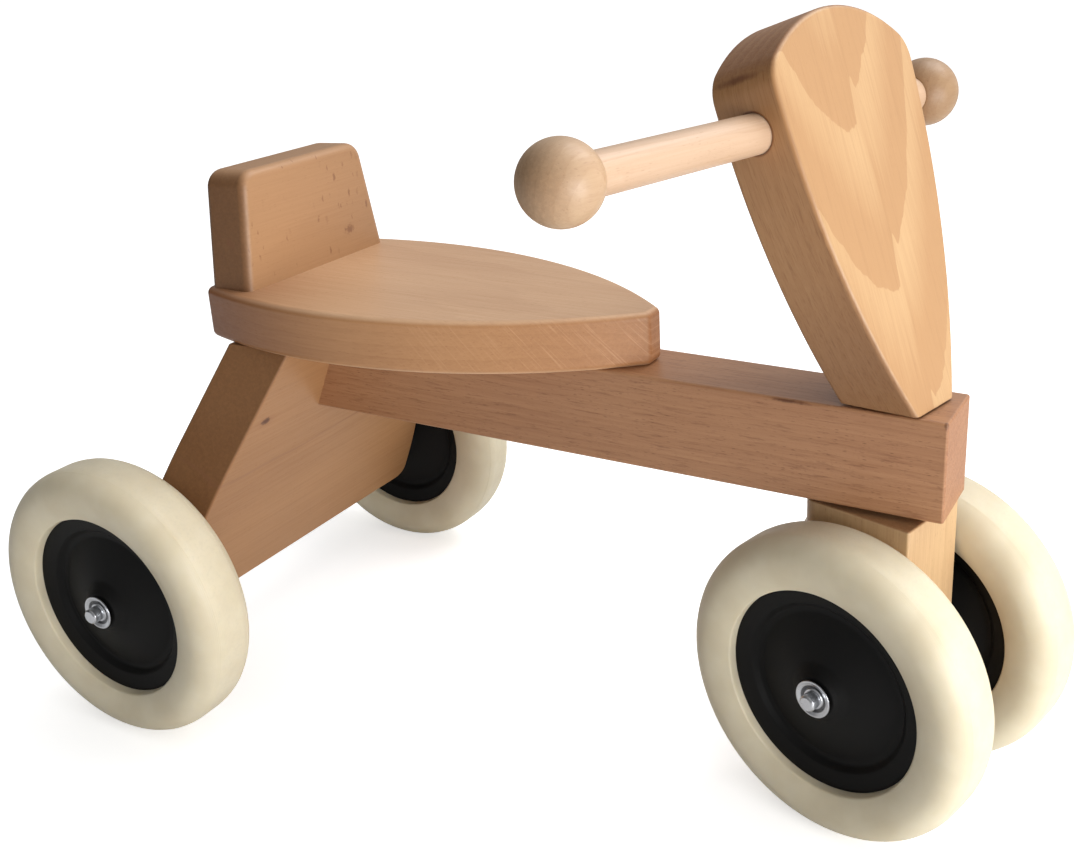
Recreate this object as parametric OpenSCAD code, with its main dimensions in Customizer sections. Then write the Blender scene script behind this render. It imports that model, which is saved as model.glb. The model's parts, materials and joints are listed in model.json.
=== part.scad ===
// Child's wooden ride-on with four wheels: a beech frame and a steered front end.
// X points forwards, Y to the rider's left, Z up; millimetres; the floor is Z = 0.

/* [Wheels] */
// Outer radius of every tyre
wheel_r = 75; // [73:0.5:76]
// Half of the tyre's width
tyre_half = 17.3; // [15:0.1:17.5]
// Radius where tyre and hub meet on the visible side
rim_r = 51.2; // [50:0.2:52]
// Half of the hub's length along the axle
hub_half = 16.5; // [16:0.5:18]
// Radius of the axle rods
axle_r = 4; // [3.5:0.1:4.5]
// Radial running clearance between hub and axle
axle_play = 0.05; // [0.03:0.01:0.1]

/* [Layout] */
// Distance from the rear axle to the steering pivot, which is over the front axle
wheelbase = 373; // [360:1:390]
// Centre line to the middle of a rear wheel
rear_track = 120.5; // [118:0.5:124]
// Steering centre to the middle of a front wheel
front_track = 40.1; // [40:0.1:44]
// Steering angle as modelled, negative is to the rider's right
steer_rest = -14.5; // [-20:0.5:20]
// Shift along X that centres the outer box on the origin
shift_x = -192; // [-196:0.5:-188]
// Shift along Y that centres the outer box on the origin
shift_y = 9; // [6:0.5:12]

/* [Main beam] */
// Width of the beam
beam_w = 38; // [34:1:42]
// Height of the beam
beam_h = 48; // [44:1:52]
// Underside of the beam above the floor
beam_z = 153.5; // [152:0.5:158]
// Length of the beam ahead of the steering pivot
beam_nose = 30.4; // [26:0.2:36]

/* [Rear board] */
// Thickness of the board
board_t = 33.4; // [30:0.2:38]
// Forward lean of the board from upright
board_lean = 24; // [20:0.5:27]
// Half of the width at the lower end
board_half = 102.8; // [100:0.2:104]
// Radius of the curved side edges
board_arc = 262; // [250:2:266]
// Distance up the board where each curved side edge turns straight (mm)
board_turn = 100; // [99:0.5:102]
// Slope of the straight upper part of each side edge (degrees)
board_taper = 21.6; // [20:0.1:21.6]
// Radius of the two lower corners
board_corner = 8; // [4:0.5:12]
// Distance from the lower end to the axle hole
board_foot = 20; // [16:0.5:24]

/* [Seat] */
// Thickness of the seat
seat_t = 27; // [24:0.5:30]
// Rear edge of the seat, measured from the rear axle
seat_back = 19.5; // [17:0.5:21]
// Tip of the seat, measured from the rear axle
seat_tip = 255; // [250:0.5:257]
// Half of the greatest width
seat_half = 67.5; // [66:0.5:70]
// Where the seat is widest, measured from the rear axle
seat_wide_x = 95; // [93:0.5:100]
// Radius of the two curved side edges
seat_arc = 237.6; // [232:0.2:246]
// Radius of the rear corners
seat_corner = 6; // [4:0.5:8]
// Radius of the two corners at the tip
tip_corner = 4; // [3:0.5:4.5]

/* [Backrest] */
// Height above the seat
rest_h = 60.5; // [50:0.5:70]
// Thickness
rest_t = 27; // [24:0.5:30]
// Half of the width at the seat
rest_half = 54.5; // [50:0.5:55.5]
// Half of the width at the top
rest_top_half = 45.5; // [42:0.5:49]
// Backward lean
rest_lean = 3; // [0:0.5:6]
// Front face at the seat, measured from the rear axle
rest_x = 50; // [49:0.5:52]
// Radius of the top corners
rest_corner = 10; // [6:0.5:14]

/* [Handlebar post] */
// Thickness of the post
post_t = 34.3; // [31:0.1:37]
// Backward lean of the post from upright
post_lean = 19.2; // [17:0.1:21]
// Front face at the foot, ahead of the pivot
post_front = 21.9; // [20:0.1:24]
// Half of the greatest width
post_half = 52; // [48:0.5:55]
// Length along the front face
post_len = 178; // [170:1:186]
// Radius of the curved side edges
post_arc = 350; // [330:5:380]
// Height along the face where the post is widest
post_wide = 155; // [148:1:160]
// Radius of the curved top
post_top_arc = 75; // [68:1:85]
// Radius that blends the sides into the top
post_corner = 16; // [10:1:20]

/* [Handlebar] */
// Radius of the handlebar rod
bar_r = 8.5; // [7.5:0.1:9.5]
// Height of the rod along the post's face
bar_s = 134; // [125:1:140]
// Steering centre to the middle of the right-hand ball
bar_right = 161.5; // [150:0.5:170]
// Steering centre to the middle of the left-hand ball
bar_left = 83.5; // [80:0.5:120]
// Radius of the grip balls
ball_r = 16; // [14:0.5:18]

/* [Axle block] */
// Half of the block's width
block_half = 22.1; // [20:0.1:22.3]
// Front face of the block, ahead of the pivot
block_front = 24; // [22:0.5:28]
// Rear face of the block, behind the pivot
block_rear = 34; // [28:0.5:38]
// Rounding of the two rear upright edges
block_round = 9; // [5:0.5:12]
// Block below the axle
block_drop = 24; // [20:0.5:28]
// Gap between the block and the beam
block_gap = 2.5; // [2:0.1:4]

/* [Steering] */
// Radius of the wooden steering shaft
shaft_r = 10; // [9:0.5:11]
// Radial running clearance of the shaft in its bushes
shaft_play = 0.06; // [0.03:0.01:0.1]
// Gap between the beam and the post
post_gap = 1.2; // [1:0.1:2]

/* [Hidden] */
$fn = 96;
beam_top = beam_z + beam_h;
seat_top = beam_top + seat_t;
post_z = beam_top + post_gap;
block_top = beam_z - block_gap;
bush_r = shaft_r + 2.5;
pivot_x = wheelbase + shift_x;
eps = 0.01;
thrust = 0.15;
lip_half = 10.1;
channel_half = 8;
channel_r = 45;
side_bulge = 26;
shoulder_r = 12.5;
cap_r = 9;
pin_end = 23.8;
dowel_r = 5;
peg_r = 4;
screw_len = 50;
rest_screw_len = 45;
seat_screw_x = [118, 166, 214];
counterbore = 18;
sides = [-1, 1];

beech = [0.78, 0.58, 0.4];
beech_red = [0.66, 0.46, 0.33];
beech_raw = [0.87, 0.72, 0.56];
ivory = [0.89, 0.86, 0.76];
black = [0.07, 0.07, 0.07];
zinc = [0.75, 0.76, 0.78];
nylon = [0.85, 0.83, 0.78];

// Y of the point where a circle of radius r, centred at [c[0], c[1]], passes X = x.
function arc_y(c, r, x) = c[1] + sqrt(r * r - (x - c[0]) * (x - c[0]));

// Upper meeting point of two circles.
function meet(a, ra, b, rb) =
  let (
    d = norm(b - a),
    k = (ra * ra - rb * rb + d * d) / (2 * d),
    h = sqrt(ra * ra - k * k),
    e = (b - a) / d
  )
  a + e * k + [-e[1], e[0]] * h;

function angle_of(v) = atan2(v[1], v[0]);

// Points i0 to i1 of an arc that is cut into n steps.
function arc_points(c, r, a0, a1, i0, i1, n) =
  [for (i = [i0:i1]) c + r * [cos(a0 + (a1 - a0) * i / n), sin(a0 + (a1 - a0) * i / n)]];

module framed() {
  translate([shift_x, shift_y, 0])
    children();
}

module steered() {
  translate([pivot_x, shift_y, 0])
    rotate([0, 0, steer_rest])
      children();
}

// Lies a drawing down its slab: X of the drawing runs up the slab, Y stays Y.
module slab(lean, t) {
  rotate([0, -(90 + lean), 0])
    linear_extrude(t)
      children();
}

module above(z) {
  translate([-600, -600, z])
    cube([1200, 1200, 800]);
}

module below(z) {
  translate([-600, -600, z - 800])
    cube([1200, 1200, 800]);
}

// A disc or rod along Y.
module rod_y(r, y0, y1) {
  translate([0, y0, 0])
    rotate([-90, 0, 0])
      cylinder(r = r, h = y1 - y0);
}

// Turns a drawing of radius and offset into a body around the Y axis.
module turned_y() {
  rotate([-90, 0, 0])
    rotate_extrude()
      children();
}

// Countersunk wood screw standing on its point-up axis, head face at Z = 0.
module screw(len, recess = true) {
  difference() {
    union() {
      cylinder(r1 = 4.4, r2 = 2.2, h = 2.8);
      cylinder(r = 2.2, h = len - 5);
      translate([0, 0, len - 5 - eps])
        cylinder(r1 = 2.2, r2 = 0.4, h = 5);
    }
    if (recess) {
      for (a = [0, 90])
        rotate([0, 0, a])
          translate([-2.2, -0.4, -eps])
            cube([4.4, 0.8, 1.6]);
    }
  }
}

// ---- Outlines ----

seat_low = [seat_wide_x, seat_half - seat_arc];
seat_rear_c = [seat_back + seat_corner, arc_y(seat_low, seat_arc - seat_corner, seat_back + seat_corner)];
seat_tip_c = [seat_tip - tip_corner, arc_y(seat_low, seat_arc - tip_corner, seat_tip - tip_corner)];
// Where the corner circles touch the side arcs.
seat_rear_touch = seat_low + (seat_rear_c - seat_low) * seat_arc / (seat_arc - seat_corner);
seat_tip_touch = seat_low + (seat_tip_c - seat_low) * seat_arc / (seat_arc - tip_corner);

// Half of the outline, from the back edge round to the tip.
seat_half_points = concat(
  arc_points(seat_rear_c, seat_corner, 180, angle_of(seat_rear_touch - seat_rear_c), 0, 12, 12),
  arc_points(
    seat_low, seat_arc, angle_of(seat_rear_touch - seat_low), angle_of(seat_tip_touch - seat_low), 1, 59, 60
  ),
  arc_points(seat_tip_c, tip_corner, angle_of(seat_tip_touch - seat_tip_c), 0, 0, 6, 6)
);

module seat_outline() {
  n = len(seat_half_points);
  polygon([
    for (i = [0:2 * n - 1])
      i < n ? seat_half_points[i] : [seat_half_points[2 * n - 1 - i][0], -seat_half_points[2 * n - 1 - i][1]]
  ]);
}

board_low = [0, board_half - board_arc];
board_corner_c = [board_corner, arc_y(board_low, board_arc - board_corner, board_corner)];

board_turn_y = arc_y(board_low, board_arc, board_turn);
board_straight = 120;

module board_outline() {
  intersection() {
    translate([board_low[0], board_low[1]])
      circle(r = board_arc, $fn = 240);
    translate([board_low[0], -board_low[1]])
      circle(r = board_arc, $fn = 240);
    translate([board_corner, -150])
      square([board_turn + eps - board_corner, 300]);
  }
  polygon([
    [board_turn, -board_turn_y],
    [board_turn + board_straight, -board_turn_y + board_straight * tan(board_taper)],
    [board_turn + board_straight, board_turn_y - board_straight * tan(board_taper)],
    [board_turn, board_turn_y]
  ]);
  for (s = sides)
    translate([board_corner_c[0], s * board_corner_c[1]])
      circle(r = board_corner);
  translate([0, -board_corner_c[1]])
    square([board_corner + eps, 2 * board_corner_c[1]]);
}

module rest_outline() {
  slope = (rest_half - rest_top_half) / rest_h;
  tilt = atan(slope);
  cx = rest_h - rest_corner;
  cy = rest_top_half + slope * rest_corner - rest_corner / cos(tilt);
  touch_x = cx + rest_corner * sin(tilt);
  touch_y = cy + rest_corner * cos(tilt);
  polygon([
    [-4, -rest_half - 4 * slope],
    [touch_x, -touch_y],
    [cx, -cy],
    [rest_h, -cy],
    [rest_h, cy],
    [cx, cy],
    [touch_x, touch_y],
    [-4, rest_half + 4 * slope]
  ]);
  for (s = sides)
    translate([cx, s * cy])
      circle(r = rest_corner);
}

post_low = [post_wide, post_half - post_arc];
post_top_c = [post_len - post_top_arc, 0];
post_corner_c = meet(post_top_c, post_top_arc - post_corner, post_low, post_arc - post_corner);
post_side_touch = post_low + (post_corner_c - post_low) * post_arc / (post_arc - post_corner);
post_top_touch =
  post_top_c + (post_corner_c - post_top_c) * post_top_arc / (post_top_arc - post_corner);

module post_sides() {
  intersection() {
    translate([post_low[0], post_low[1]])
      circle(r = post_arc, $fn = 240);
    translate([post_low[0], -post_low[1]])
      circle(r = post_arc, $fn = 240);
  }
}

module post_outline() {
  intersection() {
    post_sides();
    translate([-20, -100])
      square([post_side_touch[0] + 20, 200]);
  }
  intersection() {
    post_sides();
    translate([post_top_c[0], 0])
      circle(r = post_top_arc, $fn = 144);
    translate([post_top_c[0], -post_top_touch[1]])
      square([post_top_arc, 2 * post_top_touch[1]]);
  }
  for (s = sides)
    translate([post_corner_c[0], s * post_corner_c[1]])
      circle(r = post_corner);
}

module tyre_profile() {
  for (s = sides)
    intersection() {
      translate([wheel_r - shoulder_r, s * (tyre_half - shoulder_r)])
        circle(r = shoulder_r);
      translate([rim_r + 0.5, -wheel_r])
        square([wheel_r, 2 * wheel_r]);
    }
  translate([wheel_r - shoulder_r - eps, -(tyre_half - shoulder_r)])
    square([shoulder_r + eps, 2 * (tyre_half - shoulder_r)]);
  intersection() {
    translate([rim_r, -tyre_half])
      square([wheel_r - shoulder_r - rim_r, 2 * tyre_half]);
    translate([wheel_r - shoulder_r, tyre_half - side_bulge])
      circle(r = side_bulge);
    translate([wheel_r - shoulder_r, side_bulge - tyre_half])
      circle(r = side_bulge);
  }
  translate([channel_r, -channel_half])
    square([rim_r - channel_r + eps, 2 * channel_half]);
}

// One side of the hub from the bore outwards; the other side mirrors it.
hub_side = [
  [axle_r + axle_play, hub_half],
  [9.6, hub_half],
  [11.4, 15],
  [15, 12.6],
  [36.6, 5.6],
  [39.4, 5.6],
  [41.8, 8.3],
  [48.8, lip_half],
  [rim_r - 0.6, lip_half],
  [rim_r, lip_half - 0.6],
  [rim_r, channel_half],
  [channel_r, channel_half]
];

module hub_profile() {
  n = len(hub_side);
  polygon([
    for (i = [0:2 * n - 1])
      i < n ? hub_side[i] : [hub_side[2 * n - 1 - i][0], -hub_side[2 * n - 1 - i][1]]
  ]);
}

// Push-on cup: base on the hub side, flared rim outwards.
module cup_profile() {
  polygon([
    [axle_r, 0],
    [5.6, 0],
    [cap_r, 1.4],
    [cap_r, 2.1],
    [cap_r - 0.5, 2.2],
    [6, 1.3],
    [5.2, 0.8],
    [4.7, 1.6],
    [axle_r, 1.6]
  ]);
}

// ---- Shared bodies ----

module tyre() {
  color(ivory)
    turned_y()
      tyre_profile();
}

module hub() {
  color(black)
    turned_y()
      hub_profile();
}

module axle(half) {
  len = half + pin_end;
  rod_y(axle_r, -(len - 0.8), len - 0.8);
  for (s = sides)
    rotate([s < 0 ? 90 : -90, 0, 0])
      translate([0, 0, len - 0.8 - eps])
        cylinder(r1 = axle_r, r2 = axle_r - 0.8, h = 0.8);
}

module caps(half) {
  for (s = sides)
    rotate([s < 0 ? 180 : 0, 0, 0])
      translate([0, half + hub_half + 0.2, 0])
        rotate([-90, 0, 0])
          rotate_extrude()
            cup_profile();
}

module washers(y0, y1) {
  for (s = sides)
    rotate([s < 0 ? 180 : 0, 0, 0])
      difference() {
        rod_y(8, y0, y1);
        rod_y(axle_r, y0 - 1, y1 + 1);
      }
}

module at_rear_wheel(s) {
  translate([shift_x, shift_y + s * rear_track, wheel_r])
    children();
}

module at_front_wheel(s) {
  steered()
    translate([0, s * front_track, wheel_r])
      children();
}

// Everything behind the board's front face.
module board_frame() {
  translate([0, 0, wheel_r])
    rotate([0, -(90 - board_lean), 0])
      translate([-board_foot, 0, -board_t / 2])
        children();
}

module beam_dowel_shapes(r) {
  for (s = sides)
    translate([42, s * 10, beam_z + 25])
      rotate([0, 90, 0])
        cylinder(r = r, h = 56);
}

module seat_dowel_shapes(r) {
  for (s = sides)
    translate([53, s * 30, beam_top - 15])
      cylinder(r = r, h = 30);
}

module seat_screw_shapes(recess) {
  for (x = seat_screw_x)
    translate([x, 0, beam_z + counterbore])
      screw(screw_len, recess);
}

module rest_screw_shapes(recess) {
  for (s = sides)
    translate([32, s * 38, beam_top])
      screw(rest_screw_len, recess);
}

module steering_screw_shapes(recess) {
  translate([-block_rear, 0, wheel_r + 42])
    rotate([0, 90, 0])
      screw(40, recess);
  translate([-(post_t / cos(post_lean) - post_front) - 13 * tan(post_lean), 0, post_z + 13])
    rotate([0, 90, 0])
      screw(26, recess);
}

module shaft_shape(r) {
  translate([0, 0, wheel_r + 20])
    cylinder(r = r, h = post_z + 24 - wheel_r - 20);
}

bar_x = post_front - bar_s * sin(post_lean) - post_t / 2 * cos(post_lean);
bar_z = post_z + bar_s * cos(post_lean) - post_t / 2 * sin(post_lean);

// ---- Frame ----

module main_beam() {
  color(beech_red)
    framed()
      difference() {
        translate([0, -beam_w / 2, beam_z])
          cube([wheelbase + beam_nose, beam_w, beam_h]);
        board_frame()
          translate([-100, -100, 0])
            cube([500, 200, 300]);
        translate([wheelbase, 0, beam_z - 1])
          cylinder(r = bush_r, h = beam_h + 2);
        beam_dowel_shapes(dowel_r);
        seat_screw_shapes(false);
        for (x = seat_screw_x)
          translate([x, 0, beam_z - 1])
            cylinder(r = 6, h = counterbore + 1);
      }
}

module seat() {
  color(beech)
    framed()
      difference() {
        translate([0, 0, beam_top])
          linear_extrude(seat_t)
            seat_outline();
        seat_dowel_shapes(peg_r);
        seat_screw_shapes(false);
        rest_screw_shapes(false);
      }
}

module backrest() {
  color(beech)
    framed()
      difference() {
        intersection() {
          translate([rest_x, 0, seat_top])
            slab(rest_lean, rest_t)
              rest_outline();
          above(seat_top);
        }
        rest_screw_shapes(false);
      }
}

module rear_board() {
  color(beech)
    framed()
      difference() {
        intersection() {
          board_frame()
            linear_extrude(board_t)
              board_outline();
          below(beam_top);
        }
        translate([0, 0, wheel_r])
          rod_y(axle_r, -150, 150);
        beam_dowel_shapes(dowel_r);
        seat_dowel_shapes(peg_r);
      }
}

module beam_dowels() {
  color(beech_raw)
    framed()
      beam_dowel_shapes(dowel_r);
}

module seat_dowels() {
  color(beech_raw)
    framed()
      seat_dowel_shapes(peg_r);
}

module seat_screws() {
  color(zinc)
    framed()
      seat_screw_shapes(true);
}

module backrest_screws() {
  color(zinc)
    framed()
      rest_screw_shapes(true);
}

module rear_axle() {
  color(zinc)
    framed()
      translate([0, 0, wheel_r])
        axle(rear_track);
}

module rear_axle_caps() {
  color(zinc)
    framed()
      translate([0, 0, wheel_r])
        caps(rear_track);
}

module rear_washers() {
  color(zinc)
    framed()
      translate([0, 0, wheel_r])
        washers(board_half + 0.1, rear_track - hub_half - 0.2);
}

module steering_bush_upper() {
  color(nylon)
    steered()
      difference() {
        union() {
          translate([0, 0, beam_top])
            cylinder(r = 13.5, h = post_gap - thrust);
          translate([0, 0, beam_top - 16])
            cylinder(r = bush_r, h = 16 + eps);
        }
        translate([0, 0, beam_top - 20])
          cylinder(r = shaft_r + shaft_play, h = 30);
      }
}

module steering_bush_lower() {
  color(nylon)
    steered()
      difference() {
        union() {
          translate([0, 0, beam_z - block_gap + thrust])
            cylinder(r = 13.5, h = block_gap - thrust);
          translate([0, 0, beam_z - eps])
            cylinder(r = bush_r, h = 16);
        }
        translate([0, 0, beam_z - 10])
          cylinder(r = shaft_r + shaft_play, h = 30);
      }
}

// ---- Steering ----

module handlebar_post() {
  color(beech)
    steered()
      difference() {
        intersection() {
          translate([post_front, 0, post_z])
            slab(post_lean, post_t)
              post_outline();
          above(post_z);
        }
        shaft_shape(shaft_r);
        steering_screw_shapes(false);
        translate([bar_x, 0, bar_z])
          rod_y(bar_r + 0.2, -100, 100);
      }
}

module handlebar() {
  color(beech_raw)
    steered()
      translate([bar_x, 0, bar_z])
        rod_y(bar_r, -bar_right - 5, bar_left + 5);
}

// Half outline of a ball with a flat and a blind hole for the rod.
module ball_profile() {
  difference() {
    circle(r = ball_r, $fn = 144);
    translate([-50, -50])
      square([50, 100]);
    translate([-1, ball_r * 0.83])
      square([50, 50]);
    translate([-1, -5])
      square([bar_r + 1, 50]);
  }
}

module grip_ball() {
  turned_y()
    ball_profile();
}

module grip_ball_left() {
  color(beech_raw)
    steered()
      translate([bar_x, bar_left, bar_z])
        rotate([180, 0, 0])
          grip_ball();
}

module grip_ball_right() {
  color(beech_raw)
    steered()
      translate([bar_x, -bar_right, bar_z])
        grip_ball();
}

module axle_block() {
  h = block_top - wheel_r + block_drop;
  color(beech)
    steered()
      difference() {
        translate([0, 0, wheel_r - block_drop]) {
          translate([-block_rear + block_round, -block_half, 0])
            cube([block_rear - block_round + block_front, 2 * block_half, h]);
          translate([-block_rear, -block_half + block_round, 0])
            cube([block_rear, 2 * (block_half - block_round), h]);
          for (s = sides)
            translate([-block_rear + block_round, s * (block_half - block_round), 0])
              cylinder(r = block_round, h = h);
        }
        translate([0, 0, wheel_r])
          rod_y(axle_r, -50, 50);
        shaft_shape(shaft_r);
        steering_screw_shapes(false);
      }
}

module steering_shaft() {
  color(beech_raw)
    steered()
      difference() {
        shaft_shape(shaft_r);
        steering_screw_shapes(false);
      }
}

module steering_screws() {
  color(zinc)
    steered()
      steering_screw_shapes(true);
}

module front_axle() {
  color(zinc)
    steered()
      translate([0, 0, wheel_r])
        axle(front_track);
}

module front_axle_caps() {
  color(zinc)
    steered()
      translate([0, 0, wheel_r])
        caps(front_track);
}

module front_washers() {
  color(zinc)
    steered()
      translate([0, 0, wheel_r])
        washers(block_half + 0.1, front_track - hub_half - 0.2);
}

// ---- Wheels ----

module tyre_rear_left() {
  at_rear_wheel(1)
    tyre();
}

module hub_rear_left() {
  at_rear_wheel(1)
    hub();
}

module tyre_rear_right() {
  at_rear_wheel(-1)
    tyre();
}

module hub_rear_right() {
  at_rear_wheel(-1)
    hub();
}

module tyre_front_left() {
  at_front_wheel(1)
    tyre();
}

module hub_front_left() {
  at_front_wheel(1)
    hub();
}

module tyre_front_right() {
  at_front_wheel(-1)
    tyre();
}

module hub_front_right() {
  at_front_wheel(-1)
    hub();
}

main_beam();
seat();
backrest();
rear_board();
beam_dowels();
seat_dowels();
seat_screws();
backrest_screws();
rear_axle();
rear_axle_caps();
rear_washers();
steering_bush_upper();
steering_bush_lower();
handlebar_post();
handlebar();
grip_ball_left();
grip_ball_right();
axle_block();
steering_shaft();
steering_screws();
front_axle();
front_axle_caps();
front_washers();
tyre_rear_left();
hub_rear_left();
tyre_rear_right();
hub_rear_right();
tyre_front_left();
hub_front_left();
tyre_front_right();
hub_front_right();
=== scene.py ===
import json
import math
import bmesh
import bpy
from mathutils import Matrix, Vector


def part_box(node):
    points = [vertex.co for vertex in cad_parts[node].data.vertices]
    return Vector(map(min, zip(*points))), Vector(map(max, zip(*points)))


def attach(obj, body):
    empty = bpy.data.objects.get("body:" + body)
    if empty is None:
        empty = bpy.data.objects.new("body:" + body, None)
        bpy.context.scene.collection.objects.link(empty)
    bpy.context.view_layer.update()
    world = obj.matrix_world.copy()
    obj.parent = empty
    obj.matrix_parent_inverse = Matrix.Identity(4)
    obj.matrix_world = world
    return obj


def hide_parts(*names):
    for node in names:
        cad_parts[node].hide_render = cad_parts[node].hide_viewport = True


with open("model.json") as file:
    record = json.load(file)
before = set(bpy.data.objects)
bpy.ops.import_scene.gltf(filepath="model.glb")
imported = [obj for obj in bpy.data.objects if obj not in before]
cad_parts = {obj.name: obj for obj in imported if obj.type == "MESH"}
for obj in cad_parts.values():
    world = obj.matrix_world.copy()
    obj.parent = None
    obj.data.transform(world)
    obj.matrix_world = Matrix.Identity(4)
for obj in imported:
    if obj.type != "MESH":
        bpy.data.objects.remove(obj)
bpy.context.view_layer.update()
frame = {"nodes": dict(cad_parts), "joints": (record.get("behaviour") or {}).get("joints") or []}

MM = 0.001

# ---------------------------------------------------------------- facts read from the frame
joints = {j["name"]: j for j in frame["joints"]}
pivot = Vector(joints["steering_turn"]["pos_m"])
front_axis = Vector(joints["wheel_front_left_spin"]["axis"])
steer = math.atan2(-front_axis.x, front_axis.y)
rear_hub = Vector(joints["wheel_rear_left_spin"]["pos_m"])
front_left = Vector(joints["wheel_front_left_spin"]["pos_m"])
front_right = Vector(joints["wheel_front_right_spin"]["pos_m"])
beam_lo, beam_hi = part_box("main_beam")
seat_lo, seat_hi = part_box("seat")
board_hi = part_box("rear_board")[1]
block_lo, block_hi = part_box("axle_block")
post_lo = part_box("handlebar_post")[0]
# two frames in metres: X forwards from the rear axle, and X forwards from the steering's turning line
AXLE = Matrix.Translation((rear_hub.x, pivot.y, 0))
STEER = Matrix.Translation((pivot.x, pivot.y, 0)) @ Matrix.Rotation(steer, 4, "Z")
axle_z = rear_hub.z
rear_track = (rear_hub.y - pivot.y) / MM
front_track = (front_left - front_right).length / 2 / MM

# ---------------------------------------------------------------- sizes, in mm, and angles, in radians
SAME = 1e-3  # heights closer than this are the same
WHEEL_R, TYRE_HALF, SHOULDER_R, SIDE_BULGE = 75.0, 17.3, 12.5, 26.0
RIM_R, LIP_HALF, CHANNEL_HALF, PARTING_Y = 51.2, 10.1, 8.0, 9.4
HUB_HALF, AXLE_R, CAP_R, CAP_GAP, AXLE_STAND_OUT = 16.5, 4.0, 9.0, 0.2, 23.8
BOARD_T, BOARD_LEAN, BOARD_HALF, BOARD_ARC = 33.4, math.radians(24), 102.8, 262.0
BOARD_CORNER, BOARD_FOOT, BOARD_TURN, BOARD_TAPER = 8.0, 20.0, 100.0, math.radians(21.6)
SEAT_ARC, SEAT_HALF, SEAT_WIDE_X, SEAT_BACK, SEAT_TIP = 237.6, 67.5, 95.0, 19.5, 255.0
SEAT_CORNER, SEAT_TIP_R = 6.0, 4.0
REST_X, REST_H, REST_T, REST_LEAN = 50.0, 60.5, 27.0, math.radians(3)
REST_HALF, REST_TOP_HALF, REST_CORNER = 54.5, 45.5, 10.0
SCREW_XS, SCREW_SINK_R, SCREW_SINK, BUSH_BORE_R = (118, 166, 214), 6.0, 18.0, 12.5
BLOCK_FRONT, BLOCK_REAR, BLOCK_HALF, BLOCK_ROUND, BLOCK_EDGE = 24.0, 34.0, 22.1, 9.0, 1.2
POST_T, POST_LEAN, POST_FRONT = 34.3, math.radians(19.2), 21.9
POST_HALF, POST_LONG, POST_ARC, POST_WIDE_X, POST_TOP_ARC, POST_CORNER = 52.0, 178.0, 350.0, 155.0, 75.0, 16.0
BAR_R, BAR_UP, BAR_RIGHT, BAR_LEFT, BAR_TUCK = 8.5, 134.0, 161.5, 83.5, 5.0
BALL_R, BALL_FLAT, BALL_HOLE = 16.0, 13.28, 6.0
BEAM_ROUND, SEAT_ROUND, REST_ROUND, BOARD_ROUND, POST_ROUND, BLOCK_TOP_ROUND = 1.3, 3.4, 4.6, 1.4, 2.2, 1.0


# ---------------------------------------------------------------- mesh helpers
def add_object(name, mesh):
    bmesh.ops.recalc_face_normals(mesh, faces=mesh.faces)
    data = bpy.data.meshes.new(name)
    mesh.to_mesh(data)
    mesh.free()
    ob = bpy.data.objects.new(name, data)
    bpy.context.scene.collection.objects.link(ob)
    return ob


def cut_away(ob, cutters):
    for cutter in cutters:
        modifier = ob.modifiers.new("cut", "BOOLEAN")
        modifier.operation = "DIFFERENCE"
        modifier.solver = "EXACT"
        modifier.object = cutter
    old = ob.data
    graph = bpy.context.evaluated_depsgraph_get()
    ob.data = bpy.data.meshes.new_from_object(ob.evaluated_get(graph))
    ob.modifiers.clear()
    bpy.data.meshes.remove(old)
    ob.data.name = ob.name
    for cutter in cutters:
        bpy.data.objects.remove(cutter)


def finish_mesh(name, mesh, place, cutters=()):
    """Turns mesh, in the piece's own axes in mm, into an object in the row frame.
    The own axes are kept in the attribute loc, in metres, for the materials."""
    ob = add_object(name, mesh)
    if cutters:
        cut_away(ob, cutters)
    data = ob.data
    own = data.attributes.new("loc", "FLOAT_VECTOR", "POINT")
    places = [0.0] * (3 * len(data.vertices))
    data.vertices.foreach_get("co", places)
    own.data.foreach_set("vector", [c * MM for c in places])
    data.transform(place @ Matrix.Scale(MM, 4))
    for face in data.polygons:
        face.use_smooth = True
    data.set_sharp_from_angle(angle=math.radians(40))
    weighted = ob.modifiers.new("weighted", "WEIGHTED_NORMAL")
    weighted.keep_sharp = True
    weighted.weight = 60
    # the directions of the own X and Y in the row frame, for wood's end grain
    ob["own_x"] = list(place.to_3x3().col[0])
    ob["own_y"] = list(place.to_3x3().col[1])
    return ob


def loft(rings):
    """Walls between closed rings of equal length, with flat caps on both ends."""
    mesh = bmesh.new()
    rows = [[mesh.verts.new(point) for point in ring] for ring in rings]
    n = len(rings[0])
    for a, b in zip(rows, rows[1:]):
        for i in range(n):
            j = (i + 1) % n
            mesh.faces.new((a[i], a[j], b[j], b[i]))
    mesh.faces.new(list(reversed(rows[0])))
    mesh.faces.new(rows[-1])
    mesh.normal_update()
    return mesh


def bevel_edges(mesh, pick, width, steps):
    bmesh.ops.bevel(
        mesh, geom=[edge for edge in mesh.edges if pick(edge)], offset=width, offset_type="OFFSET",
        segments=steps, profile=0.5, affect="EDGES", clamp_overlap=False,
    )


def arc(centre, r, a0, a1, n, first=0, last=None):
    """Points first to last of an arc from a0 to a1 degrees that is cut into n steps."""
    last = n if last is None else last
    return [
        (centre[0] + r * math.cos(math.radians(a0 + (a1 - a0) * i / n)),
         centre[1] + r * math.sin(math.radians(a0 + (a1 - a0) * i / n)))
        for i in range(first, last + 1)
    ]


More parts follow.
